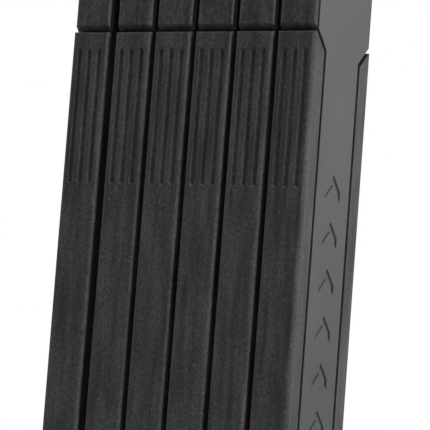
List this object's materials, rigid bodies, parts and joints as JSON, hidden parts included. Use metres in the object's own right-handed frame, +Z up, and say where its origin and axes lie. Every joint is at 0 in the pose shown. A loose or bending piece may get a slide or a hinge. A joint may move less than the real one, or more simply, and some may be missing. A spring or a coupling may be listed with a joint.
{
  "type": "folding bike lock",
  "caption": "Folding bike lock: jacketed steel links riveted into a zigzag that folds flat on a keyed lock body and locks by a stud.",
  "frame": {"origin": "on the floor, under the middle of the lock body's base", "axes": "+Z up along the folded bars, X across the stack of bars along every bar pivot, +Y out of the stud slot"},
  "size_m": [0.0482, 0.026, 0.2219],
  "materials": {
    "steel_link": "black e-coated hardened steel",
    "hard_plate": "satin moulded black plastic",
    "soft_edge": "soft-touch black elastomer, finely textured",
    "cover_plastic": "textured black plastic",
    "cast_zinc": "die-cast zinc, black coated",
    "rivet_steel": "steel, dark zinc-nickel plated",
    "bright_steel": "ground hardened steel",
    "lock_brass": "machined brass",
    "bearing_plastic": "natural low-friction plastic",
    "foot_rubber": "moulded rubber"
  },
  "bodies": {
    "lock_body": {"housing": "cast_zinc", "keeper_plate": "bright_steel", "front_cover": "cover_plastic", "rear_cover": "cover_plastic", "base_plate": "cast_zinc", "base_screws": "bright_steel", "base_pad": "foot_rubber", "cylinder_sleeve": "lock_brass", "detent_ball": "bright_steel", "detent_spring": "bright_steel", "cover_pivot": "bright_steel", "body_rivet": "rivet_steel", "body_washer": "bearing_plastic"},
    "key_core": {"cylinder_core": "lock_brass", "locking_discs": "lock_brass", "sidebar": "bright_steel", "cam": "bright_steel"},
    "bolt": {"lock_bolt": "bright_steel"},
    "cover": {"keyhole_cover": "cover_plastic"},
    "bar_1": {"bar_1_link": "steel_link", "bar_1_left_plate": "hard_plate", "bar_1_right_plate": "hard_plate", "bar_1_edge_strips": "soft_edge", "bar_1_end_bumpers": "soft_edge", "rivet_1": "rivet_steel", "washer_1": "bearing_plastic"},
    "bar_2": {"bar_2_link": "steel_link", "bar_2_left_plate": "hard_plate", "bar_2_right_plate": "hard_plate", "bar_2_edge_strips": "soft_edge", "bar_2_end_bumpers": "soft_edge", "rivet_2": "rivet_steel", "washer_2": "bearing_plastic"},
    "bar_3": {"bar_3_link": "steel_link", "bar_3_left_plate": "hard_plate", "bar_3_right_plate": "hard_plate", "bar_3_edge_strips": "soft_edge", "bar_3_end_bumpers": "soft_edge", "rivet_3": "rivet_steel", "washer_3": "bearing_plastic"},
    "bar_4": {"bar_4_link": "steel_link", "bar_4_left_plate": "hard_plate", "bar_4_right_plate": "hard_plate", "bar_4_edge_strips": "soft_edge", "bar_4_end_bumpers": "soft_edge", "rivet_4": "rivet_steel", "washer_4": "bearing_plastic"},
    "bar_5": {"bar_5_link": "steel_link", "bar_5_left_plate": "hard_plate", "bar_5_right_plate": "hard_plate", "bar_5_edge_strips": "soft_edge", "bar_5_end_bumpers": "soft_edge", "rivet_5": "rivet_steel", "washer_5": "bearing_plastic"},
    "bar_6": {"bar_6_link": "steel_link", "bar_6_left_plate": "hard_plate", "bar_6_right_plate": "hard_plate", "bar_6_edge_strips": "soft_edge", "bar_6_end_bumpers": "soft_edge", "locking_stud": "bright_steel"}
  },
  "joints": [
    {"name": "body_pivot", "type": "hinge", "parent": "lock_body", "child": "bar_1", "pos_m": [-0.02028, 0, 0.042], "axis": [1, 0, 0], "range_deg": [-90, 90]},
    {"name": "link_pivot_1", "type": "hinge", "parent": "bar_1", "child": "bar_2", "pos_m": [-0.016, 0, 0.21], "axis": [1, 0, 0], "range_deg": [0, 180]},
    {"name": "link_pivot_2", "type": "hinge", "parent": "bar_2", "child": "bar_3", "pos_m": [-0.00773, 0, 0.07], "axis": [1, 0, 0], "range_deg": [0, 120]},
    {"name": "link_pivot_3", "type": "hinge", "parent": "bar_3", "child": "bar_4", "pos_m": [0.00028, 0, 0.21], "axis": [1, 0, 0], "range_deg": [0, 180]},
    {"name": "link_pivot_4", "type": "hinge", "parent": "bar_4", "child": "bar_5", "pos_m": [0.00827, 0, 0.07], "axis": [1, 0, 0], "range_deg": [0, 120]},
    {"name": "link_pivot_5", "type": "hinge", "parent": "bar_5", "child": "bar_6", "pos_m": [0.01628, 0, 0.21], "axis": [1, 0, 0], "range_deg": [0, 180]},
    {"name": "key_turn", "type": "hinge", "parent": "lock_body", "child": "key_core", "pos_m": [0, 0, 0.015], "axis": [0, 0, -1], "range_deg": [0, 90]},
    {"name": "bolt_slide", "type": "slide", "parent": "lock_body", "child": "bolt", "axis": [1, 0, 0], "range_m": [0, 0.0065]},
    {"name": "cover_pivot_hinge", "type": "hinge", "parent": "lock_body", "child": "cover", "pos_m": [0.0086, 0, 0.001], "axis": [0, 0, -1], "range_deg": [0, 45]}
  ],
  "couplings": [
    {"joint": "bolt_slide", "follows": "key_turn", "m_per_rad": 0.004138}
  ]
}
